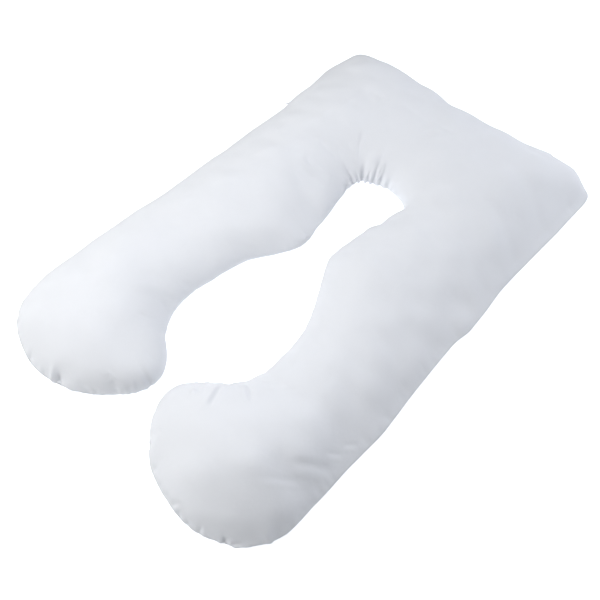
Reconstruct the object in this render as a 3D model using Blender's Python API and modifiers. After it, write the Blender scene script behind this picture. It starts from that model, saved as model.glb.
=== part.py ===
"""A U-shaped body pillow: one filled solid, lying on its back.

Two equal panels of white cloth are sewn together all round and filled. The two legs
lie along Y with their feet at low y, and the head joins them at high y. The inner edge
makes, from the feet, a narrow mouth, a wide bay for the belly, a waist between the two
shoulders, and a smaller bay for the neck.

The right half is a coarse cage, lofted through ribs that run across the pillow from its
outer seam to its inner seam. A mirror makes the left half, and a subdivision surface
rounds the cage, with the seam kept as a crease. Metres, +Z up. The origin is under the
middle of the pillow's box, on the surface that it lies on.
"""

from collections import namedtuple
from math import cos, pi

import bmesh
import bpy

SEAM_HEIGHT = 0.042  # the seam's height above the surface that the pillow lies on
TOP_STEPS = 8  # faces across the upper panel, from seam to seam
UNDER_STEPS = 8  # faces across the lower panel
CONTACT_SHARE = 0.72  # the share of a rib's width that lies flat on the surface
TURN_UP_POWER = 1.5  # how the underside turns up from there to the seam
SUBDIVISIONS = 1
MERGE_DISTANCE = 0.00005

CLOTH_COLOUR = (0.86, 0.87, 0.90, 1.0)
CLOTH_ROUGHNESS = 0.85

# One row for each rib of the right half, from the tip of the foot to the middle of the
# head, with y counted from the tip of the foot. outer and inner are the rib's two ends
# on the seam. bow pushes the rib's middle out past the foot. crown is its highest point
# and lift its underside's height. The two fullness columns are the power of its arch
# towards each seam: 0.5 is a half ellipse, more is thinner and less is steeper.
Rib = namedtuple(
    "Rib", "outer_x outer_y inner_x inner_y bow crown lift outer_fullness inner_fullness"
)
RIBS = (
    Rib(0.343, 0.032, 0.092, 0.036, 0.037, 0.042, 0.042, 0.50, 0.50),  # round the foot
    Rib(0.380, 0.068, 0.052, 0.067, 0.018, 0.100, 0.012, 0.52, 0.50),
    Rib(0.394, 0.125, 0.018, 0.120, 0.006, 0.126, 0.000, 0.72, 0.52),  # inward tip
    Rib(0.402, 0.188, 0.022, 0.184, 0.000, 0.130, 0.000, 0.98, 0.52),
    Rib(0.402, 0.245, 0.072, 0.234, 0.000, 0.124, 0.000, 1.10, 0.52),
    Rib(0.400, 0.300, 0.117, 0.276, 0.000, 0.114, 0.000, 1.20, 0.52),
    Rib(0.398, 0.368, 0.135, 0.342, 0.000, 0.107, 0.000, 1.25, 0.52),  # belly bay
    Rib(0.396, 0.448, 0.131, 0.426, 0.000, 0.106, 0.000, 1.25, 0.52),
    Rib(0.394, 0.525, 0.098, 0.514, 0.000, 0.109, 0.000, 1.25, 0.52),
    Rib(0.393, 0.597, 0.056, 0.590, 0.000, 0.113, 0.000, 1.25, 0.52),
    Rib(0.393, 0.664, 0.032, 0.652, 0.000, 0.116, 0.000, 1.25, 0.52),  # shoulder
    Rib(0.394, 0.734, 0.038, 0.713, 0.000, 0.117, 0.000, 1.25, 0.52),
    Rib(0.395, 0.808, 0.053, 0.770, 0.000, 0.117, 0.000, 1.25, 0.52),
    Rib(0.396, 0.886, 0.068, 0.816, 0.000, 0.118, 0.000, 1.25, 0.50),  # neck bay
    Rib(0.399, 0.969, 0.077, 0.851, 0.000, 0.121, 0.000, 1.25, 0.46),
    Rib(0.402, 1.057, 0.078, 0.875, 0.000, 0.126, 0.000, 1.25, 0.38),
    Rib(0.406, 1.148, 0.070, 0.892, 0.000, 0.130, 0.000, 1.22, 0.34),
    Rib(0.409, 1.231, 0.057, 0.900, 0.000, 0.132, 0.000, 1.15, 0.31),
    Rib(0.401, 1.293, 0.043, 0.905, 0.000, 0.133, 0.000, 1.05, 0.31),  # head's corner
    Rib(0.329, 1.312, 0.033, 0.907, 0.000, 0.132, 0.000, 0.90, 0.33),
    Rib(0.231, 1.303, 0.022, 0.910, 0.000, 0.130, 0.000, 0.76, 0.37),
    Rib(0.115, 1.291, 0.011, 0.912, 0.000, 0.127, 0.000, 0.66, 0.40),
    Rib(0.000, 1.286, 0.000, 0.913, 0.000, 0.126, 0.000, 0.60, 0.41),  # mirror plane
)


def station(step, steps):
    """A place across a rib: 1 at the outer seam, -1 at the inner, closer near both."""
    return cos(pi * step / steps)


def plan_point(rib, across):
    """The x and y of a place across a rib."""
    share = (1 - across) / 2
    x = rib.outer_x + share * (rib.inner_x - rib.outer_x)
    y = rib.outer_y + share * (rib.inner_y - rib.outer_y)
    return x, y - rib.bow * (1 - across**2)


def top_height(rib, across):
    outward = (1 + across) / 2
    power = rib.inner_fullness + outward * (rib.outer_fullness - rib.inner_fullness)
    arch = max(0.0, 1 - across**2) ** power
    return SEAM_HEIGHT + (rib.crown - SEAM_HEIGHT) * arch


def under_height(rib, across):
    beyond = max(0.0, abs(across) - CONTACT_SHARE) / (1 - CONTACT_SHARE)
    return rib.lift + (SEAM_HEIGHT - rib.lift) * beyond**TURN_UP_POWER


def panel_row(cage, rib, height, steps, seam_ends):
    """One rib's vertices on one panel. Both panels share the two on the seam."""
    row = [seam_ends[0]]
    for step in range(1, steps):
        across = station(step, steps)
        row.append(cage.verts.new((*plan_point(rib, across), height(rib, across))))
    row.append(seam_ends[1])
    return row


def half_cage():
    """The right half's cage, open at x = 0. Its first rib is the seam round the foot."""
    cage = bmesh.new()
    seam_rows = []
    top_rows = []
    under_rows = []
    for index, rib in enumerate(RIBS):
        ends = [cage.verts.new((*plan_point(rib, side), SEAM_HEIGHT)) for side in (1, -1)]
        seam_rows.append(ends)
        top_rows.append(panel_row(cage, rib, top_height, TOP_STEPS, ends))
        if index == 0:
            under_rows.append(top_rows[0])
        else:
            under_rows.append(panel_row(cage, rib, under_height, UNDER_STEPS, ends))
    for rows, faces_up in ((top_rows, True), (under_rows, False)):
        for row, following in zip(rows, rows[1:]):
            for step in range(len(row) - 1):
                corners = [row[step], following[step], following[step + 1], row[step + 1]]
                cage.faces.new(corners if faces_up else corners[::-1])
    crease_seam(cage, seam_rows, top_rows[0])
    return cage


def crease_seam(cage, seam_rows, foot_row):
    """Creases the edges of the outer seam, the inner seam and the seam round the foot."""
    crease = cage.edges.layers.float.new("crease_edge")
    runs = [[ends[side] for ends in seam_rows] for side in (0, 1)] + [foot_row]
    for run in runs:
        for start, end in zip(run, run[1:]):
            cage.edges.get((start, end))[crease] = 1.0


def cloth_material():
    material = bpy.data.materials.new("pillow_cloth")
    material.use_nodes = True
    shader = material.node_tree.nodes["Principled BSDF"]
    shader.inputs["Base Color"].default_value = CLOTH_COLOUR
    shader.inputs["Roughness"].default_value = CLOTH_ROUGHNESS
    shader.inputs["Metallic"].default_value = 0.0
    return material


def make_pillow(collection):
    cage = half_cage()
    bmesh.ops.recalc_face_normals(cage, faces=cage.faces)
    mesh = bpy.data.meshes.new("pillow")
    cage.to_mesh(mesh)
    cage.free()
    pillow = bpy.data.objects.new("pillow", mesh)
    collection.objects.link(pillow)
    mirror = pillow.modifiers.new("left_half", "MIRROR")
    mirror.use_clip = True
    mirror.merge_threshold = MERGE_DISTANCE
    rounding = pillow.modifiers.new("rounding", "SUBSURF")
    rounding.levels = SUBDIVISIONS
    rounding.render_levels = SUBDIVISIONS
    mesh.shade_smooth()
    mesh.materials.append(cloth_material())
    centre_along(pillow)


def centre_along(pillow):
    """Moves the pillow along Y so that the middle of its box is at y = 0."""
    finished = pillow.evaluated_get(bpy.context.evaluated_depsgraph_get())
    along = [vertex.co.y for vertex in finished.data.vertices]
    pillow.location.y = -(min(along) + max(along)) / 2


def main():
    for old in list(bpy.data.objects):
        bpy.data.objects.remove(old)
    body_pillow = bpy.data.collections.new("body_pillow")
    bpy.context.scene.collection.children.link(body_pillow)
    make_pillow(body_pillow)


main()
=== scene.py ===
"""The looks of the U-shaped body pillow: its filled cover, the seam round it and the cloth.

The cover is a grid of points, lofted through the same ribs as the plain solid that it stands
for. Its outline is made to stray, lumps and waves raise its upper panel, a cloth simulation
wrinkles it, and creases and puckers are pressed into it. Metres, +Z up, in the solid's frame.
"""

from collections import namedtuple
from math import cos, pi, radians, sin

import bpy
import numpy as np
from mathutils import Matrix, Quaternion, Vector
from mathutils.kdtree import KDTree


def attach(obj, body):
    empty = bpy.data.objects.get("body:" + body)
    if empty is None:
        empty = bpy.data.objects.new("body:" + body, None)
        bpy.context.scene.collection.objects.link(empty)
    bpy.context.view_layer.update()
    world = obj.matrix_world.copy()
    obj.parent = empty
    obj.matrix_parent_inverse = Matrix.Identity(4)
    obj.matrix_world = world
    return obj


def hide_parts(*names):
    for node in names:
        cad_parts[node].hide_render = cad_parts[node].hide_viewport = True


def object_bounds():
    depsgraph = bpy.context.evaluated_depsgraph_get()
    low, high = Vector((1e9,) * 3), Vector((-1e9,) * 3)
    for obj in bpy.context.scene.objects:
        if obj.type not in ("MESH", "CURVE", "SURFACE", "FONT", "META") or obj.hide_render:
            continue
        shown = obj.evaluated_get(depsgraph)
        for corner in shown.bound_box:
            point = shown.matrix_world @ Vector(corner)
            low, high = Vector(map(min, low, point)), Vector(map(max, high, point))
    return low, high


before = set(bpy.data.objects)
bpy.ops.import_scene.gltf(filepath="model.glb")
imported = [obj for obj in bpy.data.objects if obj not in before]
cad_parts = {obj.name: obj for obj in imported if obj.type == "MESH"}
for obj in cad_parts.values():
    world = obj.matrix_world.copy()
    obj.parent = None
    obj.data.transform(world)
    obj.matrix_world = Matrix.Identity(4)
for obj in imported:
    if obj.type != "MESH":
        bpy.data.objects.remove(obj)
cad_low, cad_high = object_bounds()

# ---------------------------------------------------------------- the pillow's sizes, in metres

SEAM_HEIGHT = 0.042
CONTACT_SHARE = 0.72  # the share of a rib's width that lies flat on the floor
TURN_UP_POWER = 1.5  # how the underside turns up from there to the seam

MILLIMETRE = 0.001

STATIONS = 532  # cells of the mesh from the right foot round the head to the left foot
ACROSS = 92  # cells across each panel, from seam to seam
FINE_STATIONS = 4000  # steps by which the pillow's length is measured
FINE_ACROSS = 240  # steps by which a section's length is measured
SEAM_FINENESS = 8  # points on the seam for each that the mesh has there
FOOT_FINENESS = 1.2  # how much closer the cells lie along a foot than along a leg
FOOT_REACH = 0.16  # about how far from a foot's end they still lie closer
SEAM_CROWDING = 0.40  # how much closer the cells across a panel lie at the seams

# One row for each rib of the right half, from the tip of the foot to the middle of the head,
# with y counted from the tip of the foot. outer and inner are the rib's two ends on the seam.
# bow pushes the rib's middle out past the foot. crown is its highest point and lift its
# underside's height. The two fullness columns are the power of its arch towards each seam:
# 0.5 is a half ellipse, more is thinner and less is steeper.
Rib = namedtuple(
    "Rib", "outer_x outer_y inner_x inner_y bow crown lift outer_fullness inner_fullness"
)
RIBS = (
    Rib(0.343, 0.032, 0.092, 0.036, 0.037, 0.042, 0.042, 0.50, 0.50),  # round the foot
    Rib(0.380, 0.068, 0.052, 0.067, 0.018, 0.100, 0.012, 0.52, 0.50),
    Rib(0.394, 0.125, 0.018, 0.120, 0.006, 0.126, 0.000, 0.72, 0.52),  # inward tip
    Rib(0.402, 0.188, 0.022, 0.184, 0.000, 0.130, 0.000, 0.98, 0.52),
    Rib(0.402, 0.245, 0.072, 0.234, 0.000, 0.124, 0.000, 1.10, 0.52),
    Rib(0.400, 0.300, 0.117, 0.276, 0.000, 0.114, 0.000, 1.20, 0.52),
    Rib(0.398, 0.368, 0.135, 0.342, 0.000, 0.107, 0.000, 1.25, 0.52),  # belly bay
    Rib(0.396, 0.448, 0.131, 0.426, 0.000, 0.106, 0.000, 1.25, 0.52),
    Rib(0.394, 0.525, 0.098, 0.514, 0.000, 0.109, 0.000, 1.25, 0.52),
    Rib(0.393, 0.597, 0.056, 0.590, 0.000, 0.113, 0.000, 1.25, 0.52),
    Rib(0.393, 0.664, 0.032, 0.652, 0.000, 0.116, 0.000, 1.25, 0.52),  # shoulder
    Rib(0.394, 0.734, 0.038, 0.713, 0.000, 0.117, 0.000, 1.25, 0.52),
    Rib(0.395, 0.808, 0.053, 0.770, 0.000, 0.117, 0.000, 1.25, 0.52),
    Rib(0.396, 0.886, 0.068, 0.816, 0.000, 0.118, 0.000, 1.25, 0.50),  # neck bay
    Rib(0.399, 0.969, 0.077, 0.851, 0.000, 0.121, 0.000, 1.25, 0.46),
    Rib(0.402, 1.057, 0.078, 0.875, 0.000, 0.126, 0.000, 1.25, 0.38),
    Rib(0.406, 1.148, 0.070, 0.892, 0.000, 0.130, 0.000, 1.22, 0.34),
    Rib(0.409, 1.231, 0.057, 0.900, 0.000, 0.132, 0.000, 1.15, 0.31),
    Rib(0.401, 1.293, 0.043, 0.905, 0.000, 0.133, 0.000, 1.05, 0.31),  # head's corner
    Rib(0.329, 1.312, 0.033, 0.907, 0.000, 0.132, 0.000, 0.90, 0.33),
    Rib(0.231, 1.303, 0.022, 0.910, 0.000, 0.130, 0.000, 0.76, 0.37),
    Rib(0.115, 1.291, 0.011, 0.912, 0.000, 0.127, 0.000, 0.66, 0.40),
    Rib(0.000, 1.286, 0.000, 0.913, 0.000, 0.126, 0.000, 0.60, 0.41),  # mirror plane
)


# ---------------------------------------------------------------- the form under its folds

def rib_rows(places):
    """The rib table at fractional rows, on a cubic B-spline, mirrored about the head's middle."""
    table = np.array(RIBS)
    mirror = [-1 if column.endswith("_x") else 1 for column in Rib._fields]
    rows = np.concatenate([table, table[-2::-1] * mirror])
    rows = np.concatenate([2 * rows[:1] - rows[1:2], rows, 2 * rows[-1:] - rows[-2:-1]])
    whole = np.clip(np.floor(places).astype(int), 0, len(rows) - 4)
    t = (places - whole)[:, None]
    weights = (
        (1 - t) ** 3 / 6,
        (3 * t**3 - 6 * t**2 + 4) / 6,
        (-3 * t**3 + 3 * t**2 + 3 * t + 1) / 6,
        t**3 / 6,
    )
    return sum(weight * rows[whole + step] for step, weight in enumerate(weights))


def run_length(points):
    """The distance walked to each of a line's points."""
    steps = np.linalg.norm(np.diff(points, axis=0), axis=1)
    return np.concatenate([[0], np.cumsum(steps)])


def graded_places(count):
    """Fractional rib rows at steps of the two seams' mean length, shorter steps at the feet."""
    fine = np.linspace(0, 2 * (len(RIBS) - 1), FINE_STATIONS + 1)
    rows = rib_rows(fine)
    run = (run_length(rows[:, 0:2]) + run_length(rows[:, 2:4])) / 2
    from_foot = np.minimum(run, run[-1] - run)
    closeness = 1 + FOOT_FINENESS * np.exp(-((from_foot / FOOT_REACH) ** 2))
    grade = np.concatenate([[0], np.cumsum(closeness[1:] * np.diff(run))])
    return np.interp(np.linspace(0, grade[-1], count + 1), grade, fine)


def crowded_shares(count):
    """Shares from 0 to 1 that lie closer to each other near both ends."""
    even = np.linspace(0, 1, count + 1)
    return even - SEAM_CROWDING * np.sin(2 * pi * even) / (2 * pi)


def resample(line, shares):
    """A line's points at shares of its length, and the places of those points along it."""
    run = run_length(line[:, :3])
    at = shares * run[-1]
    return np.stack([np.interp(at, run, column) for column in line.T], 1), at


def loft():
    """The pillow's surface and its cloth's flat cut, both as [station, place round the section].

    A section runs over the upper panel from the outer seam to the inner, then back under.
    The cut has both panels' own edges, and so two places more round the section.
    """
    rows = rib_rows(graded_places(STATIONS))
    across = np.cos(np.linspace(0, pi, FINE_ACROSS + 1))
    shares = crowded_shares(ACROSS)
    beyond = np.clip(np.abs(across) - CONTACT_SHARE, 0, 1) / (1 - CONTACT_SHARE)
    arch = np.clip(1 - across**2, 0, 1)
    surface = np.zeros((len(rows), 2 * ACROSS, 3))
    cut = np.zeros((len(rows), 2 * ACROSS + 2, 2))
    for station, row in enumerate(rows):
        outer, inner = row[0:2], row[2:4]
        bow, crown, lift, outer_fullness, inner_fullness = row[4:]
        plan = outer + (1 - across[:, None]) / 2 * (inner - outer)
        plan[:, 1] -= bow * arch
        power = inner_fullness + (1 + across) / 2 * (outer_fullness - inner_fullness)
        top = SEAM_HEIGHT + (crown - SEAM_HEIGHT) * arch**power
        under = lift + (SEAM_HEIGHT - lift) * beyond**TURN_UP_POWER
        upper, upper_run = resample(np.column_stack([plan, top]), shares)
        lower, lower_run = resample(np.column_stack([plan, under]), shares)
        surface[station, : ACROSS + 1] = upper
        surface[station, ACROSS + 1 :] = lower[-2:0:-1]
        inward = (inner - outer) / np.linalg.norm(inner - outer)
        middle = (outer + inner) / 2
        upper_cut = middle + (upper_run - upper_run[-1] / 2)[:, None] * inward
        lower_cut = middle + (lower_run - lower_run[-1] / 2)[:, None] * inward
        cut[station] = np.concatenate([upper_cut, lower_cut[::-1]])
    surface[..., 1] += cad_low[1] - surface[..., 1].min()
    return surface, cut


# ---------------------------------------------------------------- meshes made from the grid

def new_object(name, data):
    """A new object in the scene that shows this mesh, camera or light."""
    made = bpy.data.objects.new(name, data)
    bpy.context.scene.collection.objects.link(made)
    return made


def mesh_piece(name, vertices, faces):
    """A new object in the scene with a mesh of its own."""
    mesh = bpy.data.meshes.new(name)
    mesh.from_pydata(vertices, [], faces)
    mesh.update()
    return new_object(name, mesh)


def shared_numbers(stations, around):
    """Each grid point's vertex. At both feet the two panels share one row of vertices."""
    across = around // 2
    number = np.arange(stations * around).reshape(stations, around)
    for end in (0, stations - 1):
        number[end, across + 1 :] = number[end, across - 1 : 0 : -1]
    used, number = np.unique(number, return_inverse=True)
    return used, number.reshape(stations, around)


def grid_faces(number):
    """The vertices of each face, from the vertex number of each of the grid's points."""
    following = np.roll(number, -1, axis=1)
    corners = [number[:-1], number[1:], following[1:], following[:-1]]
    return np.stack(corners, -1).reshape(-1, 4)


def grid_piece(name, surface):
    """A closed piece made of the grid's points, and the vertex number of each point."""
    used, number = shared_numbers(*surface.shape[:2])
    vertices = surface.reshape(-1, 3)[used]
    return mesh_piece(name, vertices.tolist(), grid_faces(number).tolist()), number


def lay_cut(piece, cut):
    """Stores each panel's flat cut on the piece as a UV map, in metres."""
    column = np.arange(2 * ACROSS)
    column = column + (column >= ACROSS)
    corners = [cut[:-1, column], cut[1:, column], cut[1:, column + 1], cut[:-1, column + 1]]
    layer = piece.data.uv_layers.new(name="cut_cloth")
    layer.data.foreach_set("uv", np.stack(corners, 2).astype(np.float32).ravel())


def grid_normals(surface):
    """The outward direction at each of the grid's points."""
    used, number = shared_numbers(*surface.shape[:2])
    flat = surface.reshape(-1, 3)[used]
    corners = flat[grid_faces(number)]
    crossed = np.cross(corners[:, 2] - corners[:, 0], corners[:, 3] - corners[:, 1])
    total = np.zeros_like(flat)
    for corner in range(4):
        np.add.at(total, grid_faces(number)[:, corner], crossed)
    total /= np.linalg.norm(total, axis=1, keepdims=True)
    return total[number]


# ---------------------------------------------------------------- where a point lies from the seam

def seam_line(surface):
    """The closed seam's points, from the right foot's outer end up that side, round the head,
    down to the left foot, back inside and across the right foot."""
    outer_side = surface[:, 0]
    left_foot = surface[-1, 1 : ACROSS + 1]
    inner_side = surface[-2::-1, ACROSS]
    right_foot = surface[0, ACROSS - 1 :: -1]
    return np.concatenate([outer_side, left_foot, inner_side, right_foot])


SeamPlace = namedtuple("SeamPlace", "at off outward")


def seam_places(surface):
    """For each point: how far along the seam it lies, how far off it, and the direction in
    which the seam's outline faces there."""
    line = seam_line(surface)
    run = run_length(line)
    fine_run = np.linspace(0, run[-1], SEAM_FINENESS * len(run))
    fine_line = np.stack([np.interp(fine_run, run, column) for column in line.T], 1)
    ahead, behind = (np.roll(fine_line, step * SEAM_FINENESS, axis=0) for step in (-1, 1))
    tangent = ahead - behind
    outward = np.stack([tangent[:, 1], -tangent[:, 0], 0 * tangent[:, 0]], 1)
    outward /= np.linalg.norm(outward, axis=1, keepdims=True)
    tree = KDTree(len(fine_line))
    for index, place in enumerate(fine_line):
        tree.insert(place, index)
    tree.balance()
    found = np.array([tree.find(place)[1:] for place in surface.reshape(-1, 3)])
    nearest = found[:, 0].astype(int).reshape(surface.shape[:2])
    off = found[:, 1].reshape(surface.shape[:2])
    return SeamPlace(fine_run[nearest], off, outward[nearest])


# ---------------------------------------------------------------- how this pillow is uneven

# How far the outline strays outwards from the even form: places along the seam in metres,
# and millimetres outwards there.
STRAYS = (
    # the right leg's outer side, from the foot
    (0.00, -1), (0.02, -3), (0.04, -4), (0.10, 2), (0.17, -5), (0.26, -3), (0.37, 7),
    (0.43, 5), (0.47, 3), (0.65, -1), (0.69, 7), (0.77, 3), (0.83, -3), (0.90, -3),
    (1.00, -2), (1.08, -1), (1.14, -3),
    # the head, from its right corner with the small ear and the notch beside it
    (1.20, -2), (1.235, -1), (1.255, -2), (1.27, -12), (1.29, -16), (1.31, -3), (1.34, 3),
    (1.365, 1), (1.395, 18), (1.42, 20), (1.44, 17), (1.47, 4), (1.50, 5), (1.52, 10),
    (1.54, 11), (1.57, 6), (1.60, -2), (1.67, 2), (1.72, -13), (1.755, -2), (1.83, -1),
    (1.87, 1), (1.98, -11), (2.02, -6), (2.07, 1), (2.12, -3),
    # the left leg's outer side, from the head
    (2.15, 2), (2.20, 10), (2.25, 5), (2.36, 5), (2.40, -3), (2.53, 4), (2.60, 4),
    (2.64, 2), (2.68, 7), (2.87, 4), (2.94, 10), (3.00, 8), (3.07, 9), (3.13, 5),
    # round the left foot
    (3.20, 8), (3.26, 1), (3.33, 0), (3.46, 0), (3.50, -2), (3.60, -5), (3.66, -6),
    (3.70, 1), (3.76, 8),
    # the left leg's inner side, from the foot to its shoulder
    (3.86, -6), (3.91, 1), (3.98, 7), (4.04, 13), (4.07, 10), (4.12, 4), (4.15, 1),
    (4.20, 8), (4.27, 12),
    # the neck bay
    (4.34, -6), (4.45, 0), (4.52, 7), (4.58, 5), (4.63, -3), (4.68, -3), (4.71, -7),
    (4.74, 4), (4.76, 4), (4.78, -3), (4.815, 4),
    # the right leg's inner side, from its shoulder
    (4.88, -7), (4.95, 0), (5.00, -5), (5.08, -7), (5.15, -8), (5.24, -2), (5.32, -6),
    (5.40, -6),
    # round the right foot
    (5.47, 2), (5.52, -1), (5.60, -5), (5.65, 1), (5.73, -3), (5.81, 0), (5.87, -3),
    (5.885, -5), (5.90, -3),
)
STRAY_REACH = 0.07  # about how far in from the seam the form strays with it
STRAY_SOFTNESS = (1.5, 1)  # cells along and around over which the strays are smoothed


def along_seam(rows, seam_at, seam_length):
    """A table's second column at places along the closed seam."""
    table = np.array(rows)
    return np.interp(seam_at, table[:, 0], table[:, 1], period=seam_length)


def softened(field, along, around):
    """A field over the grid, smoothed along its stations and round its sections."""
    mirrored = np.concatenate([field[:0:-1], field, field[-2::-1]])
    turned = np.fft.fft2(mirrored, axes=(0, 1))
    along_rate = np.fft.fftfreq(mirrored.shape[0])[:, None, None] * along
    around_rate = np.fft.fftfreq(mirrored.shape[1])[None, :, None] * around
    turned *= np.exp(-2 * pi**2 * (along_rate**2 + around_rate**2))
    smooth = np.fft.ifft2(turned, axes=(0, 1)).real
    return smooth[len(field) - 1 : 2 * len(field) - 1]


def strayed(surface):
    """The form with its outline moved out or in by as much as this pillow's strays."""
    place = seam_places(surface)
    length = run_length(seam_line(surface))[-1]
    out = MILLIMETRE * along_seam(STRAYS, place.at, length)
    out *= np.exp(-((place.off / STRAY_REACH) ** 2))
    return surface + softened(out[..., None] * place.outward, *STRAY_SOFTNESS)


# Broad swellings and hollows of the filling, and soft dents and folds of the upper panel: the
# middle, the way it runs in degrees from +X, how far it reaches from there along that way and
# to each side of it, and millimetres upwards.
Lump = namedtuple("Lump", "x y heading length width height")
LUMPS = (
    # the right foot, fuller at its end, with its outer corner pressed in
    Lump(0.230, -0.590, 65, 0.140, 0.060, 9),
    Lump(0.330, -0.622, 33, 0.050, 0.014, -20),
    Lump(0.302, -0.598, 33, 0.050, 0.016, 4),
    Lump(0.265, -0.575, 40, 0.060, 0.030, -3),
    Lump(0.352, -0.578, 140, 0.090, 0.030, -4),
    Lump(0.368, -0.563, 100, 0.014, 0.009, 3),
    Lump(0.260, -0.500, 60, 0.120, 0.080, 5),
    Lump(0.388, -0.540, 80, 0.040, 0.015, -6),
    Lump(0.350, -0.545, 80, 0.040, 0.018, 2),
    # the right leg
    Lump(0.340, -0.355, 0, 0.070, 0.035, -3),
    Lump(0.335, -0.440, 80, 0.080, 0.030, 3),
    Lump(0.340, -0.290, 120, 0.100, 0.050, -6),
    Lump(0.205, -0.200, 115, 0.120, 0.035, 4),
    Lump(0.370, -0.175, 80, 0.070, 0.035, 3),
    Lump(0.085, -0.110, 120, 0.140, 0.060, -12),
    Lump(0.152, 0.025, 100, 0.140, 0.060, 8),
    Lump(0.270, 0.030, 80, 0.140, 0.060, -6),
    Lump(0.360, 0.035, 60, 0.050, 0.025, -2),
    Lump(0.300, 0.150, 100, 0.140, 0.060, -3),
    # the head, with its right corner raised and the arch of the neck bay fuller
    Lump(0.335, 0.415, 80, 0.140, 0.060, -12),
    Lump(0.350, 0.620, 40, 0.100, 0.045, 10),
    Lump(0.355, 0.630, 150, 0.070, 0.022, 5),
    Lump(0.395, 0.560, 80, 0.060, 0.028, -6),
    Lump(0.150, 0.590, 0, 0.140, 0.050, -5),
    Lump(0.070, 0.520, 0, 0.140, 0.060, 4),
    Lump(0.062, 0.336, 24, 0.140, 0.070, 12),
    Lump(0.125, 0.268, 105, 0.140, 0.060, 9),
    Lump(-0.015, 0.272, 15, 0.040, 0.018, -5),
    Lump(0.045, 0.262, -25, 0.040, 0.018, -6),
    Lump(-0.060, 0.235, 40, 0.030, 0.012, -5),
    Lump(-0.075, 0.262, 40, 0.030, 0.015, 3),
    Lump(-0.270, 0.550, 0, 0.100, 0.030, 4),
    Lump(-0.165, 0.348, 40, 0.140, 0.060, 10),
    Lump(-0.360, 0.305, 100, 0.140, 0.060, 3),
    # the left leg
    Lump(-0.120, 0.210, 75, 0.140, 0.060, -12),
    Lump(-0.095, 0.065, 120, 0.140, 0.060, -8),
    Lump(-0.050, 0.050, 120, 0.100, 0.030, -3),
    Lump(-0.185, -0.285, 80, 0.100, 0.030, 3),
    Lump(-0.345, -0.220, 160, 0.100, 0.050, -4),
    Lump(-0.120, -0.130, 120, 0.070, 0.035, 3),
    Lump(-0.160, -0.170, 80, 0.140, 0.060, 4),
    Lump(-0.270, -0.190, 40, 0.120, 0.060, -6),
    Lump(-0.305, -0.335, 160, 0.100, 0.050, 4),
    Lump(-0.100, -0.445, 105, 0.100, 0.045, -9),
    Lump(-0.136, -0.300, 38, 0.018, 0.005, -6),
    Lump(-0.131, -0.348, 38, 0.012, 0.005, -6),
    Lump(-0.128, -0.369, 38, 0.010, 0.004, -4),
    Lump(-0.129, -0.428, 38, 0.016, 0.005, -4),
    # the left foot
    Lump(-0.070, -0.555, 25, 0.140, 0.060, 8),
    Lump(-0.034, -0.548, 40, 0.070, 0.018, 4),
    Lump(-0.290, -0.605, 170, 0.100, 0.030, 5),
    Lump(-0.225, -0.520, 40, 0.100, 0.030, -2),
    Lump(-0.175, -0.615, 60, 0.060, 0.030, 6),
)
LUMP_EDGE = 0.02  # a lump rises over about this distance from the seam

# Over all of it lie shallow waves, as the fibres of a filling never lie quite even.
WAVES = 26
WAVE_SEED = 3
WAVE_HEIGHT = 0.0022  # of all of them together
WAVE_LENGTHS = (0.06, 0.16)  # the shortest and the longest


def seen_along(surface, mark):
    """How far each point lies along the way that a lump or crease runs, and to its right."""
    turn = radians(mark.heading)
    x, y = surface[..., 0] - mark.x, surface[..., 1] - mark.y
    return x * cos(turn) + y * sin(turn), x * sin(turn) - y * cos(turn)


def on_upper_panel(height, place, edge):
    """A height that starts from nothing at the seam, and that the lower panel hasn't got."""
    height = height * (1 - np.exp(-((place.off / edge) ** 2)))
    height[:, ACROSS + 1 :] = 0
    return height


def lump_height(surface, place):
    """How far the lumps and the waves raise each point of the upper panel."""
    height = np.zeros_like(place.off)
    for lump in LUMPS:
        along, right = seen_along(surface, lump)
        shape = np.exp(-((along / lump.length) ** 2) - (right / lump.width) ** 2)
        height += MILLIMETRE * lump.height * shape
    x, y = surface[..., 0], surface[..., 1]
    draw = np.random.default_rng(WAVE_SEED)
    for _ in range(WAVES):
        turn, start = draw.uniform(0, 2 * pi, 2)
        along = (x * cos(turn) + y * sin(turn)) / draw.uniform(*WAVE_LENGTHS)
        height += WAVE_HEIGHT / WAVES**0.5 * np.sin(2 * pi * along + start)
    return on_upper_panel(height, place, LUMP_EDGE)


# Creases of the upper panel: the middle of a valley, the way it runs in degrees from +X, how
# far it reaches from there along that way and to each side of it, and its depth, with a softer
# ridge to the right of that way. A crease with a depth below 0 is a fold that stands up.
Crease = namedtuple("Crease", "x y heading length width depth")
CREASES = (
    # the right foot's tip
    Crease(0.119, -0.450, 292, 0.027, 0.005, 0.0060),
    Crease(0.162, -0.398, 324, 0.023, 0.005, 0.0050),
    Crease(0.074, -0.454, 60, 0.016, 0.004, 0.0040),
    Crease(0.082, -0.462, 300, 0.010, 0.005, 0.0060),
    # the right foot's left end
    Crease(0.202, -0.642, 30, 0.015, 0.003, 0.0060),
    # the right leg's outer side
    Crease(0.361, -0.369, 50, 0.014, 0.004, 0.0016),
    Crease(0.347, -0.420, 45, 0.035, 0.008, 0.0028),
    Crease(0.323, -0.483, 45, 0.035, 0.005, 0.0014),
    Crease(0.372, -0.330, 50, 0.014, 0.004, 0.0014),
    # the left leg's inner side
    Crease(-0.185, -0.350, 45, 0.030, 0.010, 0.0020),
    Crease(-0.180, -0.385, 45, 0.030, 0.010, -0.0016),
)
CREASE_EDGE = 0.004  # a crease deepens over about this distance from the seam
RIDGE_PLACE = 2.1  # how many of its widths a ridge lies from the middle of its valley
RIDGE_SHARE = 0.5  # its height for each metre of the valley's depth


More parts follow.
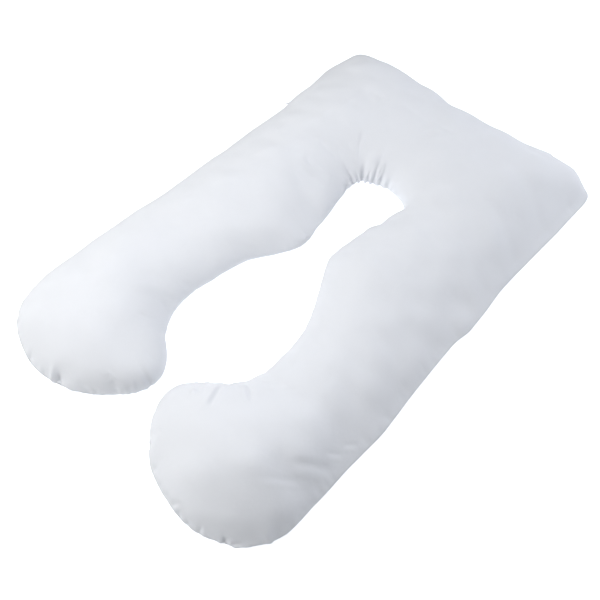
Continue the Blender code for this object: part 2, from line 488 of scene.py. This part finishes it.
def valley_and_ridge(beside):
    """The section of a crease that is 1 deep, at a distance counted in its widths."""
    ridge = RIDGE_SHARE * np.exp(-((beside - RIDGE_PLACE) ** 2))
    return ridge - np.exp(-(beside**2))


def crease_height(surface, place):
    """How far the creases raise each point of the upper panel."""
    height = np.zeros_like(place.off)
    for crease in CREASES:
        along, right = seen_along(surface, crease)
        reach = np.exp(-((along / crease.length) ** 4))
        height += crease.depth * reach * valley_and_ridge(right / crease.width)
    return on_upper_panel(height, place, CREASE_EDGE)


# Puckers: short valleys that run in from the seam, each between two small ridges, or a small
# fold that stands up where the depth is below 0. The wall before seam_at is as wide as width
# says, and the wall after it spread times that.
Pucker = namedtuple("Pucker", "seam_at length width depth spread", defaults=[1])
PUCKERS = (
    # the right foot's outer corner
    Pucker(0.064, 0.012, 0.005, -0.0025),
    Pucker(0.082, 0.027, 0.009, 0.0065),
    Pucker(0.102, 0.027, 0.009, 0.0045),
    # the right leg's outer side
    Pucker(0.405, 0.025, 0.006, 0.0025),
    Pucker(0.662, 0.025, 0.006, 0.0025),
    Pucker(1.165, 0.030, 0.006, 0.0015),
    # the head, from the notch at its right corner
    Pucker(1.262, 0.020, 0.005, 0.0045),
    Pucker(1.310, 0.030, 0.006, 0.0015),
    Pucker(1.399, 0.030, 0.007, 0.0025),
    Pucker(1.483, 0.025, 0.006, 0.0025),
    Pucker(1.705, 0.030, 0.007, 0.0020),
    Pucker(1.766, 0.030, 0.007, 0.0020),
    # round the left foot, with the deepest of all
    Pucker(3.153, 0.030, 0.007, 0.0025),
    Pucker(3.343, 0.022, 0.005, 0.0030, 2),
    Pucker(3.375, 0.015, 0.004, 0.0015),
    Pucker(3.439, 0.020, 0.004, 0.0050, 3),
    Pucker(3.465, 0.014, 0.004, 0.0035, 2),
    Pucker(3.492, 0.016, 0.004, 0.0025, 2),
    Pucker(3.529, 0.027, 0.005, 0.0100, 3),
    Pucker(3.580, 0.012, 0.004, 0.0015),
    Pucker(3.620, 0.014, 0.004, 0.0015),
    Pucker(3.664, 0.016, 0.004, 0.0025),
    Pucker(3.690, 0.014, 0.003, 0.0020),
    Pucker(3.708, 0.030, 0.004, 0.0030),
    Pucker(3.732, 0.040, 0.004, 0.0040),
    # the left leg's inner side, up to its shoulder
    Pucker(3.860, 0.050, 0.007, 0.0020),
    Pucker(3.915, 0.060, 0.008, 0.0020),
    Pucker(4.268, 0.030, 0.004, 0.0025),
    Pucker(4.303, 0.025, 0.004, 0.0050),
    Pucker(4.319, 0.020, 0.004, 0.0040),
    # the gathers of the neck bay's arch
    Pucker(4.500, 0.035, 0.005, 0.0030),
    Pucker(4.522, 0.050, 0.004, 0.0070),
    Pucker(4.536, 0.045, 0.003, 0.0050),
    Pucker(4.550, 0.055, 0.004, 0.0075),
    Pucker(4.564, 0.040, 0.003, 0.0050),
    Pucker(4.580, 0.045, 0.004, 0.0065),
    Pucker(4.598, 0.035, 0.004, 0.0055),
    Pucker(4.620, 0.030, 0.004, 0.0035),
    Pucker(4.650, 0.025, 0.005, 0.0020),
    # the right leg's inner side, down to the foot
    Pucker(5.296, 0.040, 0.006, 0.0020),
    Pucker(5.336, 0.040, 0.006, 0.0015),
    Pucker(5.376, 0.040, 0.005, 0.0020),
    Pucker(5.402, 0.035, 0.005, 0.0018),
    Pucker(5.428, 0.035, 0.004, 0.0020),
    # round the right foot
    Pucker(5.625, 0.018, 0.004, 0.0035),
    Pucker(5.680, 0.018, 0.005, 0.0015),
    Pucker(5.733, 0.012, 0.004, 0.0020),
    Pucker(5.779, 0.016, 0.004, 0.0050),
    Pucker(5.803, 0.012, 0.004, 0.0035),
    Pucker(5.832, 0.016, 0.004, 0.0035),
    Pucker(5.885, 0.016, 0.004, 0.0050),
)
PUCKER_START = 0.004  # a pucker deepens over about this distance from the seam
PUCKER_WIDENING = 12  # and grows wider by this share of its width for each metre from there

# Between them lie many small ones, at random places and of random sizes.
SMALL_PUCKERS = 150
SMALL_PUCKER_SEED = 7
SMALL_LENGTHS = (0.010, 0.028)
SMALL_WIDTHS = (0.0035, 0.0060)
SMALL_DEPTHS = (0.0003, 0.0013)

SEAM_SINK = 0.0012  # how deep the stitches pull the seam in
SEAM_SOFTNESS = 0.003  # about how far from the seam that reaches


def pucker_height(place, length):
    """How far the puckers and the seam's stitches push each point out of the surface."""
    draw = np.random.default_rng(SMALL_PUCKER_SEED)
    ranges = ((0, length), SMALL_LENGTHS, SMALL_WIDTHS, SMALL_DEPTHS)
    small = [
        Pucker(*(draw.uniform(*limits) for limits in ranges)) for _ in range(SMALL_PUCKERS)
    ]
    height = np.zeros_like(place.off)
    for pucker in [*PUCKERS, *small]:
        along = (place.at - pucker.seam_at + length / 2) % length - length / 2
        along /= pucker.width * (1 + PUCKER_WIDENING * place.off)
        aside = np.where(along > 0, along / pucker.spread, -along)
        reach = np.exp(-((place.off / pucker.length) ** 2))
        reach *= 1 - np.exp(-place.off / PUCKER_START)
        height += pucker.depth * reach * valley_and_ridge(aside)
    return height - SEAM_SINK * np.exp(-((place.off / SEAM_SOFTNESS) ** 2))


# ---------------------------------------------------------------- cloth simulation

CLOTH_STEP = 2  # the simulated cloth has every second point of the grid
CLOTH_FRAMES = 20
CLOTH_QUALITY = 6  # steps of the simulation in each frame
CLOTH_MASS = 0.1  # kilograms at each vertex
CLOTH_PRESSURE = 4
CLOTH_STIFFNESS = 15
CLOTH_BENDING = 0.5
SEAM_WIDTH = 0.0001  # the cloth is held this near the seam's line
CLOTH_EASE = 0.08  # the most by which the cloth at the seam is larger than the form it fills
EASE_REACH = 0.07  # how far from the seam there is any ease

# The share of that ease at places along the seam, in metres.
Ease = namedtuple("Ease", "seam_at share")
EASES = (
    Ease(0.00, 0.20),
    Ease(0.12, 0.10),
    Ease(0.25, 0.03),
    Ease(1.15, 0.02),
    Ease(1.40, 0.05),
    Ease(1.70, 0.08),
    Ease(2.05, 0.10),
    Ease(3.00, 0.08),
    Ease(3.30, 0.15),
    Ease(3.50, 0.20),
    Ease(3.75, 0.20),
    Ease(4.00, 0.10),
    Ease(4.27, 0.06),
    Ease(4.45, 0.10),
    Ease(4.52, 1.00),
    Ease(4.58, 0.80),
    Ease(4.64, 0.20),
    Ease(5.10, 0.10),
    Ease(5.40, 0.30),
    Ease(5.60, 0.20),
    Ease(5.75, 0.30),
)
FULL_WRINKLES = 0.3  # the share of the ease from which on all of the wrinkles are kept


def weight_group(piece, name, weights):
    """Gives the piece's vertices these weights, in a new group of this name."""
    group = piece.vertex_groups.new(name=name)
    for vertex, weight in enumerate(weights):
        if weight > 0:
            group.add([vertex], float(weight), "REPLACE")
    return name


def blown_up(surface, off, share):
    """The grid's points after the filling has pressed the cloth out, with its seam held."""
    piece, number = grid_piece("cloth_trial", surface)
    pinned = np.zeros(len(piece.data.vertices))
    pinned[number] = off < SEAM_WIDTH
    fitted = np.zeros(len(pinned))
    fitted[number] = 1 - share * (1 - np.clip(off / EASE_REACH, 0, 1))
    modifier = piece.modifiers.new("cloth", "CLOTH")
    cloth = modifier.settings
    cloth.quality = CLOTH_QUALITY
    cloth.mass = CLOTH_MASS
    cloth.tension_stiffness = CLOTH_STIFFNESS
    cloth.compression_stiffness = CLOTH_STIFFNESS
    cloth.shear_stiffness = CLOTH_STIFFNESS
    cloth.bending_stiffness = CLOTH_BENDING
    cloth.use_pressure = True
    cloth.uniform_pressure_force = CLOTH_PRESSURE
    cloth.vertex_group_mass = weight_group(piece, "pinned", pinned)
    cloth.vertex_group_shrink = weight_group(piece, "fitted", fitted)
    cloth.shrink_min = -CLOTH_EASE
    cloth.shrink_max = 0
    cloth.effector_weights.gravity = 0
    modifier.collision_settings.use_collision = False
    modifier.point_cache.frame_start = 1
    modifier.point_cache.frame_end = CLOTH_FRAMES + 1
    for step in range(1, CLOTH_FRAMES + 1):
        bpy.context.scene.frame_set(step)
    finished = piece.evaluated_get(bpy.context.evaluated_depsgraph_get())
    flat = np.empty(3 * len(finished.data.vertices))
    finished.data.vertices.foreach_get("co", flat)
    bpy.data.objects.remove(piece)
    bpy.context.scene.frame_set(1)
    return flat.reshape(-1, 3)[number]


def midway(before, left, right, after):
    """The cubic curve through four values, halfway between the second and the third."""
    return (9 * (left + right) - before - after) / 16


def halfway(field):
    """A field over the coarse grid, brought to the fine grid, twice as close each way."""
    wide = np.concatenate([field[:1], field, field[-1:]])
    rows = np.empty((2 * len(field) - 1, *field.shape[1:]))
    rows[::2] = field
    rows[1::2] = midway(wide[:-3], wide[1:-2], wide[2:-1], wide[3:])
    full = np.empty((len(rows), 2 * field.shape[1], *field.shape[2:]))
    full[:, ::2] = rows
    full[:, 1::2] = midway(*(np.roll(rows, -step, axis=1) for step in (-1, 0, 1, 2)))
    return full


WRINKLE_SPAN = (8, 7)  # cells along and around: what is broader than this isn't a wrinkle
WRINKLE_CAP = 0.008  # metres, the most by which a wrinkle moves a point
LEAST_WRINKLE = 1e-9  # metres, so that no size that is divided by is 0


def cloth_wrinkles(surface, place, length):
    """What the simulation adds to the form that is narrower than the form itself."""
    every = (slice(None, None, CLOTH_STEP), slice(None, None, CLOTH_STEP))
    share = along_seam(EASES, place.at[every], length)
    shift = blown_up(surface[every], place.off[every], share) - surface[every]
    wrinkles = shift - softened(shift, *WRINKLE_SPAN)
    size = np.linalg.norm(wrinkles, axis=2, keepdims=True)
    wrinkles *= np.minimum(1, WRINKLE_CAP / np.maximum(size, LEAST_WRINKLE))
    wrinkles *= np.minimum(1, share / FULL_WRINKLES)[..., None]
    return halfway(wrinkles)


# The simulation would press the creases and the puckers flat, so they come after it.
even_surface, cut = loft()
surface = strayed(even_surface)
place = seam_places(surface)
length = run_length(seam_line(surface))[-1]
surface[..., 2] += lump_height(surface, place)
surface = surface + cloth_wrinkles(surface, place, length)
surface[..., 2] += crease_height(surface, place)
surface = surface + pucker_height(place, length)[..., None] * grid_normals(surface)
surface[..., 2] = np.maximum(surface[..., 2], 0)  # nothing sinks into the floor
pillow, _ = grid_piece("pillow_cover", surface)
pillow.data.shade_smooth()
lay_cut(pillow, cut)


# ---------------------------------------------------------------- the thread in the seam

STITCH_PITCH = 0.0034
STITCH_SHARE = 0.78  # how much of the pitch shows as thread
STITCH_RADIUS = 0.00024
STITCH_RISE = 0.00025  # how far a stitch's middle stands out of the seam
THREAD_SIDES = 6

# A stitch's points: the share of its length, how many rises it stands out, and its share of
# the full radius.
StitchPoint = namedtuple("StitchPoint", "along rise thickness")
STITCH_POINTS = (
    StitchPoint(0, -2, 0.4),
    StitchPoint(0.25, 1, 1),
    StitchPoint(0.75, 1, 1),
    StitchPoint(1, -2, 0.4),
)

# The loose ends that hang out of the seam: where on the seam, how far they lean along it
# and upwards for each metre outwards, and their length.
LooseEnd = namedtuple("LooseEnd", "seam_at lean rise length")
LOOSE_ENDS = (
    LooseEnd(2.374, 0.95, 0.20, 0.0130),
    LooseEnd(2.376, 0.70, 0.45, 0.0160),
    LooseEnd(2.378, 0.50, 0.20, 0.0130),
    LooseEnd(2.380, 0.85, 0.55, 0.0110),
)
LOOSE_RADIUS = 0.0007
LOOSE_TAPER = 0.7  # the share of that at the tip
LOOSE_POINTS = 9  # points along each loose end
LOOSE_TUCK = 0.1  # the share of its length that is tucked into the seam
LOOSE_CURL = 0.15  # how far its middle bends aside, for each metre of length
LOOSE_DROOP = 0.25  # how far its tip hangs down, for each metre of length
SEAM_SPAN = 0.01  # the stretch of seam over which its direction is measured


def thread_piece(name, paths, radii):
    """A piece made of thin closed tubes. paths is [tube, point, xyz], and radii has the radius
    at each point of a path."""
    count, points = paths.shape[:2]
    ahead = np.gradient(paths, axis=1)
    ahead /= np.linalg.norm(ahead, axis=2, keepdims=True)
    side = np.cross(ahead, [0, 0, 1])
    side /= np.linalg.norm(side, axis=2, keepdims=True)
    over = np.cross(side, ahead)
    turn = np.linspace(0, 2 * pi, THREAD_SIDES, endpoint=False)[:, None]
    round_about = np.cos(turn) * side[:, :, None] + np.sin(turn) * over[:, :, None]
    rings = paths[:, :, None] + radii[:, None, None] * round_about
    number = np.arange(count * points * THREAD_SIDES).reshape(count, points, THREAD_SIDES)
    following = np.roll(number, -1, axis=2)
    walls = [number[:, :-1], following[:, :-1], following[:, 1:], number[:, 1:]]
    faces = np.stack(walls, -1).reshape(-1, 4).tolist()
    faces += number[:, 0, ::-1].tolist() + number[:, -1].tolist()
    piece = mesh_piece(name, rings.reshape(-1, 3).tolist(), faces)
    piece.data.shade_smooth()
    return piece


def seam_stitches(surface):
    """The sewing thread as it shows between the two panels, one short arc for each stitch."""
    line = seam_line(surface)
    line = np.concatenate([line, line[:1]])
    run = run_length(line)
    stitches = round(run[-1] / STITCH_PITCH)
    along, rise, thickness = np.array(STITCH_POINTS).T
    at = (np.arange(stitches)[:, None] + STITCH_SHARE * along) * run[-1] / stitches
    paths = np.stack([np.interp(at, run, column) for column in line.T], -1)
    ahead = paths[:, -1] - paths[:, 0]
    outward = np.cross(ahead, [0, 0, 1])
    outward /= np.linalg.norm(outward, axis=1, keepdims=True)
    paths += STITCH_RISE * rise[:, None] * outward[:, None]
    return thread_piece("seam_stitches", paths, STITCH_RADIUS * thickness)


def loose_ends(surface):
    """The ends of thread that hang out of the seam, each bent aside and drooping."""
    line = seam_line(surface)
    run = run_length(line)
    along = np.linspace(0, 1, LOOSE_POINTS)
    bend = np.sin(pi * along)[:, None]
    down = np.array([0, 0, -1])
    paths = []
    for end in LOOSE_ENDS:
        here, beyond = (
            np.array([np.interp(at, run, column) for column in line.T])
            for at in (end.seam_at, end.seam_at + SEAM_SPAN)
        )
        ahead = (beyond - here) / np.linalg.norm(beyond - here)
        outward = np.cross(ahead, [0, 0, 1])
        way = outward + end.lean * ahead + [0, 0, end.rise]
        way *= end.length / np.linalg.norm(way)
        path = here + (along[:, None] - LOOSE_TUCK) * way
        path += LOOSE_CURL * end.length * bend * ahead
        path += LOOSE_DROOP * end.length * along[:, None] ** 2 * down
        paths.append(path)
    radii = LOOSE_RADIUS * np.linspace(1, LOOSE_TAPER, LOOSE_POINTS)
    return thread_piece("loose_thread", np.array(paths), radii)


stitches = seam_stitches(surface)
loose_thread = loose_ends(surface)


# ---------------------------------------------------------------- the camera

LOOK_AT = (0.0772, -0.1554, 0.07)
CAMERA_AZIMUTH = -51.0  # degrees round from +X, so to the right of the feet
CAMERA_ELEVATION = 58.6
CAMERA_ROLL = 3.86
CAMERA_DISTANCE = 1.375
SENSOR_WIDTH = 36  # millimetres
LENS_SHARE = 1.0241  # the lens's length for each sensor width


def direction(azimuth, elevation):
    """The way that lies azimuth degrees round from +X and elevation degrees up."""
    turn, rise = radians(azimuth), radians(elevation)
    return Vector((cos(turn) * cos(rise), sin(turn) * cos(rise), sin(rise)))


def aim_camera():
    """The scene's camera, at the photograph's angle to the pillow."""
    back = direction(CAMERA_AZIMUTH, CAMERA_ELEVATION)
    data = bpy.data.cameras.new("camera")
    data.sensor_width = SENSOR_WIDTH
    data.lens = SENSOR_WIDTH * LENS_SHARE
    camera = new_object("camera", data)
    camera.location = Vector(LOOK_AT) + CAMERA_DISTANCE * back
    level = back.to_track_quat("Z", "Y")
    camera.rotation_euler = (level @ Quaternion((0, 0, 1), radians(CAMERA_ROLL))).to_euler()
    bpy.context.scene.camera = camera


aim_camera()

# ---------------------------------------------------------------- the cloth's material

THREAD_PITCH = 0.0005  # metres from one thread of the weave to the next
WAVE_PERIOD = 2 * pi / 20  # of the wave texture at a scale of 1
TWIST_SCALE = 900  # of the sewing thread's twist
CLOTH_LIGHT = (0.719, 0.726, 0.752, 1)
CLOTH_DARK = (0.697, 0.706, 0.734, 1)
# The thread's colour: its own tone on the twist's ridges, and a darker painted shade in the
# grooves between them.
THREAD_LIGHT = (0.66, 0.67, 0.69, 1)
THREAD_GROOVE_SHADE = (0.56, 0.57, 0.59, 1)

# Noise in the cloth: about how many of its features lie on a metre.
MOTTLES = 14
CRINKLES = 120
YARNS = 1500
YARN_STRETCH = 0.04  # a yarn's width for each metre of its length


def new_material(name):
    """A new material, its nodes, the call that joins two sockets, and its shader."""
    material = bpy.data.materials.new(name)
    material.use_nodes = True
    nodes = material.node_tree.nodes
    return material, nodes, material.node_tree.links.new, nodes["Principled BSDF"]


def settle(node, values):
    """Gives a node's own sockets their values, by the sockets' names or numbers."""
    for socket, value in values.items():
        node.inputs[socket].default_value = value


def white_cotton():
    """Plain woven cotton: fine crossed threads, uneven yarns, a soft crinkle and a faint sheen."""
    material, nodes, join, shader = new_material("white_cotton")

    def node(kind, **settings):
        """A new shader node of this kind, with these settings."""
        made = nodes.new("ShaderNode" + kind)
        for key, value in settings.items():
            setattr(made, key, value)
        return made

    def noise(scale, stretch=(1, 1, 1), detail=2):
        """Noise on the cut cloth, with features of about 1 / scale metres."""
        mapping = node("Mapping")
        settle(mapping, {"Scale": stretch})
        join(cloth.outputs["UV"], mapping.inputs["Vector"])
        made = node("TexNoise")
        settle(made, {"Scale": scale, "Detail": detail})
        join(mapping.outputs["Vector"], made.inputs["Vector"])
        return made.outputs["Fac"]

    def threads(way):
        """A wave from -1 to 1 that goes over one thread and under the next."""
        made = node("TexWave", bands_direction=way)
        settle(made, {"Scale": WAVE_PERIOD / (2 * THREAD_PITCH)})
        join(cloth.outputs["UV"], made.inputs["Vector"])
        signed = node("Math", operation="MULTIPLY_ADD")
        settle(signed, {1: 2, 2: -1})  # twice the wave, less 1
        join(made.outputs["Fac"], signed.inputs[0])
        return signed.outputs["Value"]

    def combined(operation, first, second):
        """Two values, multiplied or added."""
        made = node("Math", operation=operation)
        join(first, made.inputs[0])
        join(second, made.inputs[1])
        return made.outputs["Value"]

    def bump(height, strength, distance, below=None):
        """A relief, distance metres high, on top of the one below it."""
        made = node("Bump")
        settle(made, {"Strength": strength, "Distance": distance})
        join(height, made.inputs["Height"])
        if below:
            join(below, made.inputs["Normal"])
        return made.outputs["Normal"]

    cloth = node("UVMap", uv_map="cut_cloth")
    weave = combined("MULTIPLY", threads("X"), threads("Y"))
    lengthwise = noise(YARNS, (1, YARN_STRETCH, 1))
    crosswise = noise(YARNS, (YARN_STRETCH, 1, 1))
    yarns = combined("ADD", lengthwise, crosswise)
    crinkled = bump(noise(CRINKLES, detail=3), strength=0.5, distance=0.0006)
    uneven = bump(yarns, strength=0.5, distance=0.00006, below=crinkled)
    woven = bump(weave, strength=0.7, distance=0.00008, below=uneven)
    join(woven, shader.inputs["Normal"])

    shade = node("Mix", data_type="RGBA")
    settle(shade, {"A": CLOTH_DARK, "B": CLOTH_LIGHT})
    join(noise(MOTTLES, detail=4), shade.inputs["Factor"])
    join(shade.outputs["Result"], shader.inputs["Base Color"])
    settle(shader, {"Roughness": 0.95, "Specular IOR Level": 0.2})
    settle(shader, {"Sheen Weight": 0.08, "Sheen Roughness": 0.5})
    return material


def white_thread():
    """Spun sewing thread, with its twist as fine slanting ridges and painted shade in the grooves
    between them.
    """
    material, nodes, join, shader = new_material("white_thread")
    place = nodes.new("ShaderNodeTexCoord")
    twist = nodes.new("ShaderNodeTexWave")
    twist.bands_direction = "DIAGONAL"
    settle(twist, {"Scale": TWIST_SCALE, "Distortion": 0.6})
    join(place.outputs["Object"], twist.inputs["Vector"])
    ridges = nodes.new("ShaderNodeBump")
    settle(ridges, {"Strength": 0.5, "Distance": 0.00008})
    join(twist.outputs["Fac"], ridges.inputs["Height"])
    join(ridges.outputs["Normal"], shader.inputs["Normal"])
    # Painted shade: the colour follows the twist's relief, darker where the ridges are low.
    shade = nodes.new("ShaderNodeMix")
    shade.data_type = "RGBA"
    settle(shade, {"A": THREAD_GROOVE_SHADE, "B": THREAD_LIGHT})
    join(twist.outputs["Fac"], shade.inputs["Factor"])
    join(shade.outputs["Result"], shader.inputs["Base Color"])
    settle(shader, {"Roughness": 0.7, "Sheen Weight": 0.1})
    return material


pillow.data.materials.append(white_cotton())
thread_material = white_thread()
stitches.data.materials.append(thread_material)
loose_thread.data.materials.append(thread_material)

# ---------------------------------------------------------------- floor and light

FLOOR_HALF = 40  # metres from the middle to each edge, and the height of the walls
FLOOR_WHITE = 0.9
FLOOR_GLOSS = 0.2
GLOW = 0.70  # how bright the floor and the walls are of themselves
GLOW_COLOUR = (0.96, 1, 1.05, 1)
WORLD_GLOW = 0.02


def glowing_white(name, base, gloss):
    """A white that glows. base and gloss say how much of the light on it comes back."""
    material, _, _, shader = new_material(name)
    settle(shader, {"Base Color": (base, base, base, 1)})
    settle(shader, {"Roughness": 1.0, "Specular IOR Level": gloss})
    settle(shader, {"Emission Color": GLOW_COLOUR, "Emission Strength": GLOW})
    return material


def stage_piece(name, corners, faces, material):
    """A flat or boxy piece of the surroundings, which isn't part of the pillow."""
    piece = mesh_piece(name, corners, faces)
    piece.data.materials.append(material)
    return piece


def make_stage():
    """A plain floor, and far off round it four walls that show but give no light."""
    signs = ((-1, -1), (1, -1), (1, 1), (-1, 1))
    foot = [(FLOOR_HALF * across, FLOOR_HALF * along, 0) for across, along in signs]
    top = [(x, y, FLOOR_HALF) for x, y, _ in foot]
    runs = ((0, 1), (1, 2), (2, 3), (3, 0))
    sides = [(left, right, right + 4, left + 4) for left, right in runs]
    floor_white = glowing_white("floor_white", FLOOR_WHITE, FLOOR_GLOSS)
    stage_piece("floor", foot, [(0, 1, 2, 3)], floor_white)
    walls = stage_piece("walls", foot + top, sides, glowing_white("wall_white", 0, 0))
    walls.visible_diffuse = False
    walls.visible_glossy = False
    walls.visible_transmission = False
    walls.visible_shadow = False


def make_world():
    """A faint even light from all round."""
    world = bpy.data.worlds.new("studio")
    world.use_nodes = True
    background = world.node_tree.nodes["Background"]
    settle(background, {"Color": (1, 1, 1, 1), "Strength": WORLD_GLOW})
    bpy.context.scene.world = world


make_stage()
make_world()

LIGHT_DISTANCE = 2.2  # metres from the middle of the floor

# The square lights: degrees round from +X and above the floor, side in metres, and watts.
Light = namedtuple("Light", "name azimuth elevation side power colour")
LIGHTS = (
    Light("key", 225, 57, 2.0, 47, (1, 1, 0.98)),
    Light("top", 0, 90, 1.6, 18, (0.95, 1, 1.1)),
    Light("rim", 62, 15, 1.6, 27, (0.97, 1, 1.06)),
)


def hang_light(light):
    """A square light that shines at the middle of the floor."""
    data = bpy.data.lights.new(light.name, "AREA")
    data.shape = "SQUARE"
    data.size = light.side
    data.energy = light.power
    data.color = light.colour
    lamp = new_object(light.name, data)
    outward = direction(light.azimuth, light.elevation)
    lamp.location = LIGHT_DISTANCE * outward
    lamp.rotation_euler = outward.to_track_quat("Z", "Y").to_euler()


for light in LIGHTS:
    hang_light(light)
bpy.context.scene.view_settings.view_transform = "Standard"

for piece in (pillow, stitches, loose_thread):
    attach(piece, "root")
    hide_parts("pillow")
